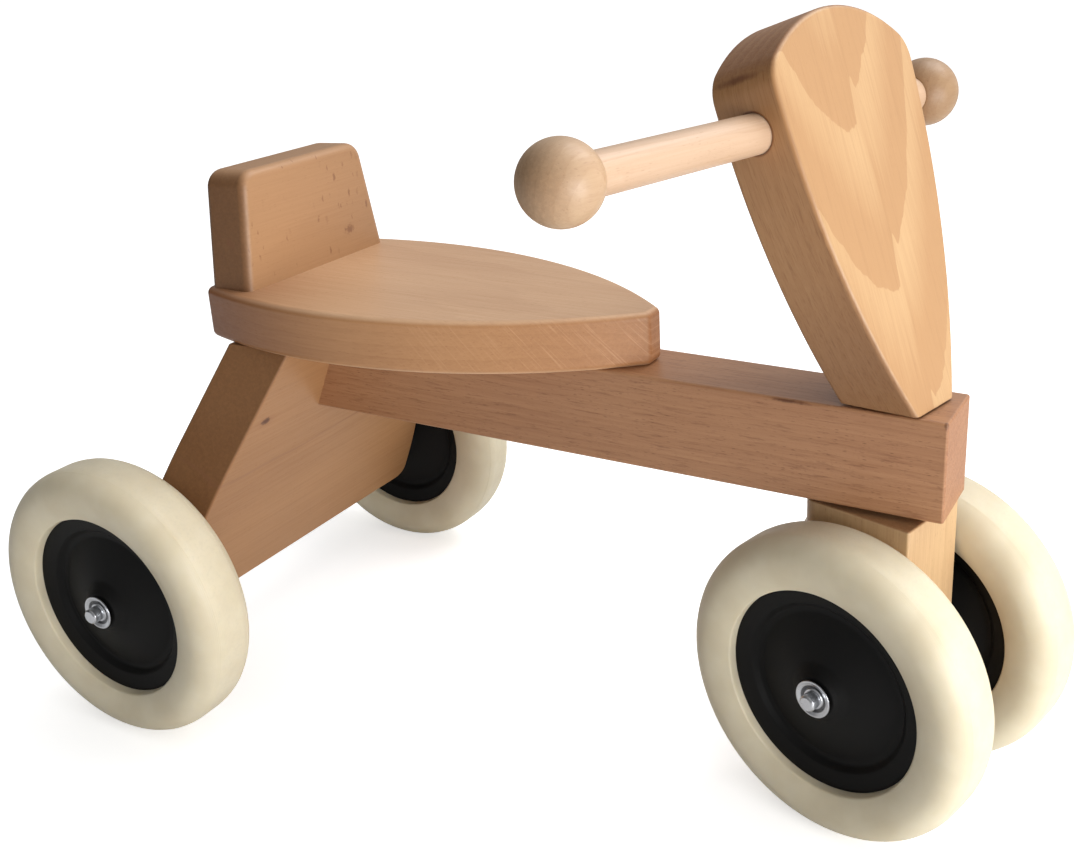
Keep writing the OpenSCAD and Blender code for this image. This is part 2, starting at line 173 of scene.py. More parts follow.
def round_poly(points, radii, steps):
    """Closed polygon with its corners rounded: radii one per point, 0 keeps it sharp."""
    out = []
    for i, r in enumerate(radii):
        point = Vector(points[i])
        if r == 0:
            out.append(tuple(point))
            continue
        a = (Vector(points[i - 1]) - point).normalized()
        b = (Vector(points[(i + 1) % len(points)]) - point).normalized()
        angle = a.angle(b)
        cut = r / math.tan(angle / 2)
        centre = point + (a + b).normalized() * (r / math.sin(angle / 2))
        start = point + a * cut - centre
        end = point + b * cut - centre
        t0 = math.atan2(start.y, start.x)
        t1 = math.atan2(end.y, end.x)
        dt = (t1 - t0 + math.pi) % (2 * math.pi) - math.pi
        for k in range(steps + 1):
            turn = t0 + dt * k / steps
            out.append((centre.x + r * math.cos(turn), centre.y + r * math.sin(turn)))
    return out


def circle(r, steps):
    turn = 2 * math.pi / steps
    return [(r * math.cos(turn * k), r * math.sin(turn * k)) for k in range(steps)]


def lathe(name, profile, place, steps, closed=False):
    """Turns (radius, y) pairs, in mm, round the Y axis. An open profile starts and ends on the axis."""
    mesh = bmesh.new()
    rows = []
    for r, y in profile:
        if r == 0:
            rows.append([mesh.verts.new((0, y, 0))] * steps)
        else:
            rows.append([mesh.verts.new((x, y, z)) for x, z in circle(r, steps)])
    pairs = list(zip(rows, rows[1:]))
    if closed:
        pairs.append((rows[-1], rows[0]))
    for a, b in pairs:
        for k in range(steps):
            m = (k + 1) % steps
            ring = []
            for v in (a[k], a[m], b[m], b[k]):
                if v not in ring:
                    ring.append(v)
            if len(ring) > 2:
                mesh.faces.new(ring)
    return finish_mesh(name, mesh, place)


def upright_hole(x, r, z0, z1, steps):
    return add_object("cutter", loft([[(x + u, v, z) for u, v in circle(r, steps)] for z in (z0, z1)]))


def flat_edge(edge):
    """An edge that lies level in the piece's own Z."""
    return abs(edge.verts[0].co.z - edge.verts[1].co.z) < SAME


def leaning_back(angle):
    """A slab's own axes: X up it, Y across, Z out of its rear face."""
    c, s = math.cos(angle), math.sin(angle)
    return Matrix(((-s, 0, -c, 0), (0, 1, 0, 0), (c, 0, -s, 0), (0, 0, 0, 1)))


pieces = {}


def keep(ob, body, slot, *nodes):
    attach(ob, body)
    if nodes:
        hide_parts(*nodes)
    pieces[ob.name] = ob


# ---------------------------------------------------------------- main beam
def make_beam():
    x0, x1 = (beam_lo.x - rear_hub.x) / MM, (beam_hi.x - rear_hub.x) / MM
    z0, z1 = beam_lo.z / MM, beam_hi.z / MM
    half = (beam_hi.y - beam_lo.y) / MM / 2
    x_top = x0 + (z1 - z0) * math.tan(BOARD_LEAN)
    mesh = loft([[(x0, y, z0), (x1, y, z0), (x1, y, z1), (x_top, y, z1)] for y in (-half, half)])

    def rim(edge):
        # the rear end stays sharp where it meets the board
        return max(v.co.x for v in edge.verts) > x_top + 5

    bevel_edges(mesh, rim, BEAM_ROUND, 4)
    cuts = [upright_hole(x, SCREW_SINK_R, z0 - 5, z0 + SCREW_SINK, 48) for x in SCREW_XS]
    cuts.append(upright_hole((pivot.x - rear_hub.x) / MM, BUSH_BORE_R, z0 - 5, z1 + 5, 64))
    ob = finish_mesh("beam", mesh, AXLE, cuts)
    keep(ob, "frame", "beech_beam", "main_beam")


# ---------------------------------------------------------------- seat
def seat_outline():
    low = (SEAT_WIDE_X, SEAT_HALF - SEAT_ARC)

    def corner(x, r):
        return (x, low[1] + math.sqrt((SEAT_ARC - r) ** 2 - (x - low[0]) ** 2))

    def bearing(c):
        return math.degrees(math.atan2(c[1] - low[1], c[0] - low[0]))

    rear = corner(SEAT_BACK + SEAT_CORNER, SEAT_CORNER)
    tip = corner(SEAT_TIP - SEAT_TIP_R, SEAT_TIP_R)
    a1, a2 = bearing(rear), bearing(tip)
    pts = arc(rear, SEAT_CORNER, 180, a1, 10)
    pts += arc(low, SEAT_ARC, a1, a2, 72, 1, 71)
    pts += arc(tip, SEAT_TIP_R, a2, 0, 7)
    return pts + [(x, -y) for x, y in reversed(pts)]


def make_seat():
    outline = seat_outline()
    mesh = loft([[(x, y, z / MM) for x, y in outline] for z in (seat_lo.z, seat_hi.z)])
    bevel_edges(mesh, flat_edge, SEAT_ROUND, 6)
    ob = finish_mesh("seat_board", mesh, AXLE)
    keep(ob, "frame", "beech_seat", "seat")


# ---------------------------------------------------------------- backrest
def make_rest():
    # own axes: X up the slab, Y across, Z out of its rear face
    def outline(foot):
        wide = REST_HALF - (REST_HALF - REST_TOP_HALF) / REST_H * foot
        corners = [(foot, -wide), (REST_H, -REST_TOP_HALF), (REST_H, REST_TOP_HALF), (foot, wide)]
        return round_poly(corners, [0, REST_CORNER, REST_CORNER, 0], 8)

    mesh = loft([[(x, y, z) for x, y in outline(-z * math.tan(REST_LEAN))] for z in (0, REST_T)])

    def rim(edge):
        return flat_edge(edge) and not all(v.co.x < 2 for v in edge.verts)

    bevel_edges(mesh, rim, REST_ROUND, 7)
    place = AXLE @ Matrix.Translation((REST_X * MM, 0, seat_hi.z)) @ leaning_back(REST_LEAN)
    ob = finish_mesh("back_rest", mesh, place)
    keep(ob, "frame", "beech_backrest", "backrest")


# ---------------------------------------------------------------- rear board
def board_half_outline(end):
    """Half width against the distance up the slab from the axle, as far as end."""
    low = (-BOARD_FOOT, BOARD_HALF - BOARD_ARC)
    corner = (BOARD_CORNER - BOARD_FOOT,
              low[1] + math.sqrt((BOARD_ARC - BOARD_CORNER) ** 2 - BOARD_CORNER ** 2))
    a1 = math.degrees(math.atan2(corner[1] - low[1], corner[0] - low[0]))
    a2 = math.degrees(math.acos(BOARD_TURN / BOARD_ARC))
    pts = arc(corner, BOARD_CORNER, 180, a1, 8) + arc(low, BOARD_ARC, a1, a2, 40, 1, 40)
    x0, y0 = BOARD_TURN - BOARD_FOOT, low[1] + math.sqrt(BOARD_ARC ** 2 - BOARD_TURN ** 2)
    for k in (0.5, 1):
        x = x0 + (end - x0) * k
        pts.append((x, y0 - (x - x0) * math.tan(BOARD_TAPER)))
    return pts


def make_board():
    c, s = math.cos(BOARD_LEAN), math.sin(BOARD_LEAN)

    def level_top(z):
        return ((board_hi.z - axle_z) / MM - z * s) / c

    rings = []
    for z in (-BOARD_T / 2, BOARD_T / 2):
        half = board_half_outline(level_top(z))
        rings.append([(x, y, z) for x, y in half] + [(x, -y, z) for x, y in reversed(half)])
    mesh = loft(rings)

    def rim(edge):
        return flat_edge(edge) and not all(v.co.x > level_top(v.co.z) - 0.01 for v in edge.verts)

    bevel_edges(mesh, rim, BOARD_ROUND, 4)
    # leaning forwards: X up the slab, Z out of its rear face
    lean = Matrix(((s, 0, -c, 0), (0, 1, 0, 0), (c, 0, s, 0), (0, 0, 0, 1)))
    ob = finish_mesh("board", mesh, AXLE @ Matrix.Translation((0, 0, axle_z)) @ lean)
    keep(ob, "frame", "beech_board", "rear_board")


# ---------------------------------------------------------------- handlebar post
def post_half(foot):
    """Half width against the distance up the slab: a long arc, a corner and the top's arc."""
    low = Vector((POST_WIDE_X, POST_HALF - POST_ARC))
    top = Vector((POST_LONG - POST_TOP_ARC, 0))
    r_top, r_low = POST_TOP_ARC - POST_CORNER, POST_ARC - POST_CORNER
    apart = (low - top).length
    along = (r_top ** 2 - r_low ** 2 + apart ** 2) / (2 * apart)
    aside = math.sqrt(r_top ** 2 - along ** 2)
    towards = (low - top) / apart
    corner = top + towards * along + Vector((-towards.y, towards.x)) * aside
    a0 = math.degrees(math.acos((foot - POST_WIDE_X) / POST_ARC))
    a1 = math.degrees(math.atan2(corner.y - low.y, corner.x - low.x))
    a2 = math.degrees(math.atan2(corner.y - top.y, corner.x - top.x))
    pts = arc(low, POST_ARC, a0, a1, 60)
    pts += arc(corner, POST_CORNER, a1, a2, 10, 1, 9)
    return pts + arc(top, POST_TOP_ARC, a2, 0, 14)


POST = STEER @ Matrix.Translation((POST_FRONT * MM, 0, post_lo.z)) @ leaning_back(POST_LEAN)


def make_post():
    rings = []
    for z in (0, POST_T):
        half = post_half(z * math.tan(POST_LEAN))
        rings.append([(x, y, z) for x, y in half] + [(x, -y, z) for x, y in reversed(half[:-1])])
    mesh = loft(rings)

    def rim(edge):
        return flat_edge(edge) and not all(v.co.x < v.co.z * math.tan(POST_LEAN) + 0.01 for v in edge.verts)

    bevel_edges(mesh, rim, POST_ROUND, 5)
    hole = [[(BAR_UP + u, y, POST_T / 2 + v) for u, v in circle(BAR_R + 0.25, 96)] for y in (-90, 90)]
    ob = finish_mesh("post", mesh, POST, [add_object("cutter", loft(hole))])
    keep(ob, "steering", "beech_post", "handlebar_post")


# ---------------------------------------------------------------- handlebar and balls
# own axes of turned pieces: Y along the rod
bar_x = POST_FRONT - BAR_UP * math.sin(POST_LEAN) - POST_T / 2 * math.cos(POST_LEAN)
bar_z = post_lo.z / MM + BAR_UP * math.cos(POST_LEAN) - POST_T / 2 * math.sin(POST_LEAN)
BAR = STEER @ Matrix.Translation((bar_x * MM, 0, bar_z * MM))


def make_bar():
    y0, y1, n = -BAR_RIGHT - BAR_TUCK, BAR_LEFT + BAR_TUCK, 60
    side = [(BAR_R, y0 + (y1 - y0) * k / n) for k in range(n + 1)]
    ob = lathe("bar", [(0, y0)] + side + [(0, y1)], BAR, 96)
    keep(ob, "steering", "beech_bar", "handlebar")


def make_ball(name, y, inward, node):
    # a flat face round the hole that takes the rod
    last = math.asin(BALL_FLAT / BALL_R)
    pts = [(0, -BALL_R)]
    n = 48
    for k in range(1, n + 1):
        t = -math.pi / 2 + (last + math.pi / 2) * k / n
        pts.append((BALL_R * math.cos(t), BALL_R * math.sin(t)))
    hole_r, hole_end = BAR_R + 0.02, BALL_FLAT - BALL_HOLE
    pts += [(hole_r, BALL_FLAT), (hole_r, hole_end), (0, hole_end)]
    ob = lathe(name, [(r, h * inward) for r, h in pts], BAR @ Matrix.Translation((0, y * MM, 0)), 128)
    keep(ob, "steering", "beech_balls", node)


# ---------------------------------------------------------------- axle block
def make_block():
    front, rear, half = BLOCK_FRONT, -BLOCK_REAR, BLOCK_HALF
    corners = [(front, -half), (front, half), (rear, half), (rear, -half)]
    outline = round_poly(corners, [BLOCK_EDGE, BLOCK_EDGE, BLOCK_ROUND, BLOCK_ROUND], 8)
    mesh = loft([[(x, y, z / MM) for x, y in outline] for z in (block_lo.z, block_hi.z)])
    bevel_edges(mesh, flat_edge, BLOCK_TOP_ROUND, 4)
    # own axes: X up, so that the grain stands
    stand = Matrix(((0, 0, 1, 0), (0, 1, 0, 0), (-1, 0, 0, 0), (0, 0, 0, 1)))
    mesh.transform(stand)
    ob = finish_mesh("block", mesh, STEER @ stand.inverted())
    keep(ob, "steering", "beech_block", "axle_block")


# ---------------------------------------------------------------- wheels
def tyre_side():
    """(radius, y) from the rim out over the bulging side and round the shoulder."""
    centre = WHEEL_R - SHOULDER_R
    pts = []
    for k in range(0, 11):
        r = RIM_R + (centre - RIM_R) * k / 10
        pts.append((r, TYRE_HALF - SIDE_BULGE + math.sqrt(SIDE_BULGE ** 2 - (r - centre) ** 2)))
    return pts + [(r, y) for y, r in arc((TYRE_HALF - SHOULDER_R, centre), SHOULDER_R, 0, 90, 18)[1:]]


def make_tyre(name, place, body, node):
    side = tyre_side()
    # lip that is tucked behind the hub's rim
    lip = [(RIM_R - 1.2, CHANNEL_HALF), (RIM_R - 1.0, side[0][1] - 0.9), (RIM_R - 0.5, side[0][1] - 0.15)]
    profile = []
    for r, y in lip + side:
        if profile and profile[-1][1] > PARTING_Y >= y:
            # the mould's parting line stands in a hair's breadth
            last_r, last_y = profile[-1]
            line_r = last_r + (r - last_r) * (last_y - PARTING_Y) / (last_y - y)
            groove = ((0.03, 0.3), (0.12, 0.2), (0.12, 0.05), (0.0, -0.05))
            profile += [(line_r - depth, PARTING_Y + aside) for depth, aside in groove]
        profile.append((r, y))
    both = profile + [(r, -y) for r, y in reversed(profile)]
    ob = lathe(name, both, place, 224, closed=True)
    keep(ob, body, "tyre_ivory", node)


def make_hub(name, place, body, node):
    # (radius, y, rounding) from the bore outwards
    side = [
        (AXLE_R + 0.05, HUB_HALF, 0), (9.6, HUB_HALF, 1.0), (11.4, 15.0, 3.0), (15.0, 12.6, 8.0),
        (36.6, 5.6, 5.0), (39.4, 5.6, 2.0), (41.8, 8.3, 2.0), (48.8, LIP_HALF, 2.0),
        (RIM_R - 0.6, LIP_HALF, 0.5), (RIM_R, LIP_HALF - 0.6, 0.3), (RIM_R, 6.0, 0),
    ]
    whole = side + [(r, -y, fillet) for r, y, fillet in reversed(side)]
    profile = round_poly([(r, y) for r, y, fillet in whole], [fillet for r, y, fillet in whole], 5)
    ob = lathe(name, profile, place, 192, closed=True)
    keep(ob, body, "hub_black", node)


# ---------------------------------------------------------------- axles and caps
def make_axle(name, place, body, track, node):
    end, face = track + AXLE_STAND_OUT, AXLE_R - 0.8
    corners = [(0, -end), (face, -end), (AXLE_R, 0.8 - end), (AXLE_R, end - 0.8), (face, end), (0, end)]
    ob = lathe(name, round_poly(corners, [0, 0.4, 0.3, 0.3, 0.4, 0], 4), place, 64)
    keep(ob, body, "zinc", node)


def make_caps(name, place, body, track, node):
    # push-on cup: rolled rim outwards, collar round the axle end
    base = track + HUB_HALF + CAP_GAP
    shape = [
        (AXLE_R, 0), (5.6, 0), (CAP_R, 1.4), (CAP_R, 2.15), (CAP_R - 0.7, 2.2),
        (6.2, 1.35), (5.3, 0.9), (4.75, 1.7), (AXLE_R, 1.7),
    ]
    shape = round_poly(shape, [0, 0.6, 0.5, 0.28, 0.25, 0.5, 0.4, 0.2, 0], 4)
    for end, s in (("_a", -1), ("_b", 1)):
        ob = lathe(name + end, [(r, s * (base + y)) for r, y in shape], place, 96, closed=True)
        keep(ob, body, "zinc", node)


make_beam()
make_seat()
make_rest()
make_board()
make_post()
make_bar()
make_ball("ball_right", -BAR_RIGHT, 1, "grip_ball_right")
make_ball("ball_left", BAR_LEFT, -1, "grip_ball_left")
make_block()
for side in ("left", "right"):
    for end, short, turn in (("rear", "r", 0.0), ("front", "f", steer)):
        body = "wheel_%s_%s" % (end, side)
        place = Matrix.Translation(joints[body + "_spin"]["pos_m"]) @ Matrix.Rotation(turn, 4, "Z")
        make_tyre("tyre_%s_%s" % (short, side), place, body, "tyre_%s_%s" % (end, side))
        make_hub("hub_%s_%s" % (short, side), place, body, "hub_%s_%s" % (end, side))
ends = (("rear", AXLE, "frame", rear_track), ("front", STEER, "steering", front_track))
for make, what, node in ((make_axle, "axle_", "_axle"), (make_caps, "caps_", "_axle_caps")):
    for end, base, body, track in ends:
        make(what + end, base @ Matrix.Translation((0, 0, axle_z)), body, track, end + node)


# ---------------------------------------------------------------- materials
def srgb(r, g, b):
    def linear(level):
        level /= 255
        return level / 12.92 if level <= 0.04045 else ((level + 0.055) / 1.055) ** 2.4
    return (linear(r), linear(g), linear(b), 1)


class Nodes:
    """Short spellings for building a node tree."""

    def __init__(self, tree):
        self.nodes = tree.nodes
        self.links = tree.links

    def put(self, kind, **props):
        node = self.nodes.new(kind)
        for k, v in props.items():
            setattr(node, k, v)
        return node

    def feed(self, socket, value):
        if isinstance(value, bpy.types.NodeSocket):
            self.links.new(value, socket)
        else:
            socket.default_value = value

    def math(self, op, a, b=None, c=None, clamp=False):
        node = self.put("ShaderNodeMath", operation=op, use_clamp=clamp)
        for i, v in enumerate((a, b, c)):
            if v is not None:
                self.feed(node.inputs[i], v)
        return node.outputs[0]

    def vmath(self, op, a, b=None):
        node = self.put("ShaderNodeVectorMath", operation=op)
        for i, v in enumerate((a, b)):
            if v is not None:
                self.feed(node.inputs[i], v)
        return node.outputs["Value" if op in ("LENGTH", "DISTANCE", "DOT_PRODUCT") else "Vector"]

    def scale(self, vec, by):
        node = self.put("ShaderNodeVectorMath", operation="SCALE")
        self.feed(node.inputs[0], vec)
        self.feed(node.inputs["Scale"], by)
        return node.outputs[0]

    def noise(self, vec, scale=1.0, detail=2.0, rough=0.5, out="Fac"):
        node = self.put("ShaderNodeTexNoise", noise_dimensions="3D")
        self.feed(node.inputs["Vector"], vec)
        self.feed(node.inputs["Scale"], scale)
        self.feed(node.inputs["Detail"], detail)
        self.feed(node.inputs["Roughness"], rough)
        return node.outputs[out]

    def mapr(self, v, a, b, c=0.0, d=1.0):
        """Takes v from a..b to c..d, with soft ends."""
        node = self.put("ShaderNodeMapRange", interpolation_type="SMOOTHSTEP")
        for i, x in enumerate((v, a, b, c, d)):
            self.feed(node.inputs[i], x)
        return node.outputs[0]

    def mix(self, fac, a, b, blend="MIX"):
        node = self.put("ShaderNodeMix", data_type="RGBA", blend_type=blend)
        self.feed(node.inputs[0], fac)
        self.feed(node.inputs[6], a)
        self.feed(node.inputs[7], b)
        return node.outputs[2]

    def split(self, vec):
        node = self.put("ShaderNodeSeparateXYZ")
        self.feed(node.inputs[0], vec)
        return node.outputs

    def join(self, x=0.0, y=0.0, z=0.0):
        node = self.put("ShaderNodeCombineXYZ")
        for i, v in enumerate((x, y, z)):
            self.feed(node.inputs[i], v)
        return node.outputs[0]

    def cells(self, vec):
        """Distance to the nearest scattered point, and a random number that each point has."""
        node = self.put("ShaderNodeTexVoronoi", voronoi_dimensions="3D", feature="F1")
        self.feed(node.inputs["Vector"], vec)
        self.feed(node.inputs["Scale"], 1.0)
        pick = self.put("ShaderNodeSeparateColor")
        self.feed(pick.inputs[0], node.outputs["Color"])
        return node.outputs["Distance"], pick.outputs[0]

    def relief(self, shader, height, strength, depth):
        node = self.put("ShaderNodeBump")
        self.feed(node.inputs["Strength"], strength)
        self.feed(node.inputs["Distance"], depth)
        self.feed(node.inputs["Height"], height)
        self.feed(shader.inputs["Normal"], node.outputs[0])

    def tint(self, col, by, fac):
        return self.mix(fac, col, self.mix(1.0, col, (*by, 1), "MULTIPLY"))


def beech_group():
    tree = bpy.data.node_groups.new("beech", "ShaderNodeTree")
    sockets = (
        ("INPUT", "NodeSocketVector", ("Vector", "Seed", "Pith")),
        ("INPUT", "NodeSocketFloat", ("Tilt", "Spacing", "Ring", "Fleck", "End", "Bend", "Wobble", "Saw")),
        ("INPUT", "NodeSocketColor", ("Light", "Dark", "Fleck Colour", "End Colour")),
        ("OUTPUT", "NodeSocketColor", ("Color",)),
        ("OUTPUT", "NodeSocketFloat", ("Roughness", "Height")),
    )
    for way, kind, names in sockets:
        for name in names:
            tree.interface.new_socket(name=name, in_out=way, socket_type=kind)
    net = Nodes(tree)
    given = net.put("NodeGroupInput").outputs
    result = net.put("NodeGroupOutput").inputs
    point = net.scale(given["Vector"], 1000)
    moved = net.vmath("ADD", point, given["Seed"])

    def stretched(x, y, z):
        return net.vmath("MULTIPLY", moved, (x, y, z))

    # slow bends of the fibres
    bend = net.noise(stretched(0.008, 0.03, 0.03), 1, 2, 0.5, "Color")
    bend = net.vmath("SUBTRACT", bend, (0.5, 0.5, 0.5))
    bend = net.scale(net.vmath("MULTIPLY", bend, (0, 9, 9)), given["Bend"])
    wobble = net.noise(stretched(0.05, 0.14, 0.14), 1, 3, 0.6, "Color")
    wobble = net.vmath("SUBTRACT", wobble, (0.5, 0.5, 0.5))
    wobble = net.scale(net.vmath("MULTIPLY", wobble, (0, 1.6, 1.6)), given["Wobble"])
    centred = net.vmath("SUBTRACT", point, given["Pith"])
    centred = net.vmath("ADD", centred, bend)
    centred = net.vmath("ADD", centred, wobble)
    x, y, z = net.split(centred)
    tilted = net.math("MULTIPLY_ADD", x, given["Tilt"], z)
    phase = net.math("DIVIDE", net.vmath("LENGTH", net.join(0.0, y, tilted)), given["Spacing"])
    part = net.math("FRACT", phase)
    cell = net.math("FLOOR", phase)
    white = net.put("ShaderNodeTexWhiteNoise", noise_dimensions="1D")
    net.feed(white.inputs["W"], cell)
    each = white.outputs["Value"]
    late = net.math("POWER", part, 3.0)
    late = net.math("MULTIPLY", late, net.mapr(part, 1.0, 0.93))
    saw = net.math("MULTIPLY", net.mapr(part, 0.0, 0.85, 0.0, 1.0), net.mapr(part, 1.0, 0.985))
    plain = net.math("MULTIPLY_ADD", each, 0.35, net.math("MULTIPLY", late, 0.65))
    plain = net.math("MULTIPLY", plain, net.math("SUBTRACT", 1.0, given["Saw"]))
    tone = net.math("ADD", plain, net.math("MULTIPLY", saw, given["Saw"]))
    rings = net.math("MULTIPLY", tone, given["Ring"])
    # fibres, long and thin
    fibre = net.noise(stretched(0.02, 0.9, 0.9), 1, 4, 0.65)
    fibres = net.mapr(fibre, 0.3, 0.75)
    # slow colour drift
    shade = net.noise(stretched(0.006, 0.02, 0.02), 1, 2, 0.5)
    drift = net.mapr(shade, 0.3, 0.7)

    # rays: short dark dashes, two sizes
    def dashes(lx, lyz, lo, hi):
        off, draw = net.cells(stretched(1 / lx, 1 / lyz, 1 / lyz))
        return net.math("MULTIPLY", net.mapr(off, hi, lo), net.mapr(draw, 0.25, 1.0))

    long = dashes(4.2, 0.95, 0.08, 0.36)
    short = dashes(2.1, 0.6, 0.05, 0.33)
    dashed = net.math("MAXIMUM", long, net.math("MULTIPLY", short, 0.7))
    patches = net.noise(stretched(0.03, 0.1, 0.1), 1, 1)
    dashed = net.math("MULTIPLY", dashed, net.mapr(patches, 0.25, 0.7, 0.45, 1.0))
    share = net.math("ADD", rings, net.math("MULTIPLY", fibres, 0.28))
    share = net.math("ADD", share, net.math("MULTIPLY", drift, 0.3), clamp=True)
    colour = net.mix(share, given["Light"], given["Dark"])
    # end grain: darker, warmer and a little rougher
    pores = net.mapr(net.noise(net.scale(moved, 0.55), 1, 3, 0.6), 0.35, 0.7, 0.93, 1.05)
    end_colour = net.scale(net.mix(1.0, colour, given["End Colour"], "MULTIPLY"), pores)
    colour = net.mix(given["End"], colour, end_colour)
    colour = net.mix(net.math("MULTIPLY", dashed, given["Fleck"]), colour, given["Fleck Colour"])
    net.feed(result["Color"], colour)
    rough = net.math("MULTIPLY_ADD", fibres, 0.10, 0.36)
    rough = net.math("MULTIPLY_ADD", dashed, 0.10, rough)
    rough = net.math("MULTIPLY_ADD", given["End"], 0.12, rough)
    net.feed(result["Roughness"], rough)
    height = net.math("MULTIPLY_ADD", fibre, 0.5, net.math("MULTIPLY", dashed, -0.6))
    height = net.math("MULTIPLY_ADD", late, 0.25, height)
    net.feed(result["Height"], height)
    return tree


BEECH = beech_group()


def dress(ob, material):
    ob.data.materials.clear()
    ob.data.materials.append(material)


def base_material(name):
    material = bpy.data.materials.new(name)
    material.use_nodes = True
    net = Nodes(material.node_tree)
    shader = material.node_tree.nodes["Principled BSDF"]
    return material, net, shader


def loc_of(net):
    own = net.put("ShaderNodeAttribute", attribute_type="GEOMETRY", attribute_name="loc")
    return own.outputs["Vector"]


def wood(piece, name, light, dark, seed, pith, tilt, spacing, ring, fleck, fleck_col, axis="X", bump=0.12,
         extra=None, bend=1.0, wobble=1.0, saw=0.0, end=(0.62, 0.50, 0.42), quiet=None, warp=None):
    """Beech for one piece. Colours are 0 to 255; seed, pith and spacing are mm in the piece's own axes."""
    ob = pieces[piece]
    material, net, shader = base_material(name)
    group = net.put("ShaderNodeGroup", node_tree=BEECH)
    own = loc_of(net)
    if axis == "Y":
        turned = net.put("ShaderNodeMapping")
        net.feed(turned.inputs["Vector"], own)
        turned.inputs["Rotation"].default_value = (0, 0, math.radians(-90))
        own = turned.outputs[0]
    values = {
        "Vector": warp(net, own) if warp else own, "Seed": seed, "Pith": pith, "Tilt": tilt,
        "Spacing": spacing, "Ring": ring, "Fleck": fleck, "Light": srgb(*light), "Dark": srgb(*dark),
        "Fleck Colour": srgb(*fleck_col), "End Colour": (*end, 1), "Bend": bend, "Wobble": wobble, "Saw": saw,
    }
    normal = net.put("ShaderNodeTexCoord").outputs["Normal"]
    if quiet:
        # the growth rings show less on the faces that look this way
        across = net.math("ABSOLUTE", net.vmath("DOT_PRODUCT", normal, tuple(quiet)))
        values["Ring"] = net.mapr(across, 0.3, 0.8, ring, ring * 0.22)
    # how squarely the surface cuts the fibres
    fibres = ob["own_y" if axis == "Y" else "own_x"]
    cut = net.math("ABSOLUTE", net.vmath("DOT_PRODUCT", normal, tuple(fibres)))
    values["End"] = net.mapr(cut, 0.25, 0.95)
    for key, value in values.items():
        net.feed(group.inputs[key], value)
    colour, rough, height = group.outputs["Color"], group.outputs["Roughness"], group.outputs["Height"]
    if extra:
        colour, rough, height = extra(net, net.scale(loc_of(net), 1000), normal, colour, rough, height)
    net.feed(shader.inputs["Base Color"], colour)
    net.feed(shader.inputs["Roughness"], rough)
    shader.inputs["Specular IOR Level"].default_value = 0.45
    net.relief(shader, height, bump, 0.0006)
    dress(ob, material)


def blot(net, point, centre, size, soft=0.4, jag=0.5, grain=0.7):
    """A soft-edged uneven spot: 1 inside, 0 outside. Centre and half sizes in mm, in the piece's own axes."""
    offset = net.vmath("MULTIPLY", net.vmath("SUBTRACT", point, centre), tuple(1 / half for half in size))
    uneven = net.math("MULTIPLY", net.math("SUBTRACT", net.noise(point, grain, 3, 0.6), 0.5), jag)
    distance = net.math("ADD", net.vmath("LENGTH", offset), uneven)
    return net.mapr(distance, 1.0, 1.0 - soft)


def specks(net, point, cell, stretch, size, share, seed):
    """Scattered short dark marks of uneven outline."""
    wander = net.scale(net.vmath("SUBTRACT", net.noise(point, 0.5, 2, 0.5, "Color"), (0.5, 0.5, 0.5)), 2.2)
    moved = net.vmath("ADD", net.vmath("ADD", point, wander), seed)
    scaled = net.vmath("MULTIPLY", moved, tuple(1 / (cell * by) for by in stretch))
    off, draw = net.cells(scaled)
    return net.math("MULTIPLY", net.mapr(off, size, size * 0.4), net.mapr(draw, 1 - share, 1 - share * 0.5))


def rest_marks(net, point, normal, colour, rough, height):
    large = specks(net, point, 8.0, (1.2, 0.5, 1.0), 0.32, 0.30, (3, 9, 4))
    small = specks(net, point, 5.0, (1.5, 0.45, 1.0), 0.26, 0.26, (31, 2, 17))
    mark = net.math("MAXIMUM", net.math("MULTIPLY", large, 0.75), net.math("MULTIPLY", small, 0.6))
    chip = blot(net, point, (14, 27, 0), (3.2, 5.0, 9), 0.7, 1.8, 0.5)
    mark = net.math("MAXIMUM", mark, net.math("MULTIPLY", chip, 0.8))
    colour = net.mix(mark, colour, srgb(126, 84, 56))
    return colour, rough, net.math("SUBTRACT", height, net.math("MULTIPLY", mark, 0.4))


def board_marks(net, point, normal, colour, rough, height):
    place = (102, -62.2, -BOARD_T / 2)
    halo = blot(net, point, place, (6, 11, 8), 0.95, 0.5, 0.3)
    knot = blot(net, point, place, (2.5, 4.6, 4), 0.6, 0.9, 0.5)
    colour = net.mix(net.math("MULTIPLY", halo, 0.35), colour, srgb(140, 92, 60))
    colour = net.mix(net.math("MULTIPLY", knot, 0.9), colour, srgb(80, 44, 28))
    # a fine dark growth line across the front
    sway = net.noise(net.vmath("MULTIPLY", point, (0.05, 0.02, 0.05)), 1, 2, 0.5)
    path = net.math("MULTIPLY_ADD", sway, 14.0, 62.0)
    off = net.math("ABSOLUTE", net.math("SUBTRACT", net.split(point)[0], path))
    line = net.math("MULTIPLY", net.mapr(off, 1.6, 0.2), 0.35)
    colour = net.mix(line, colour, srgb(128, 86, 60))
    return colour, rough, net.math("SUBTRACT", height, net.math("MULTIPLY", knot, 0.5))


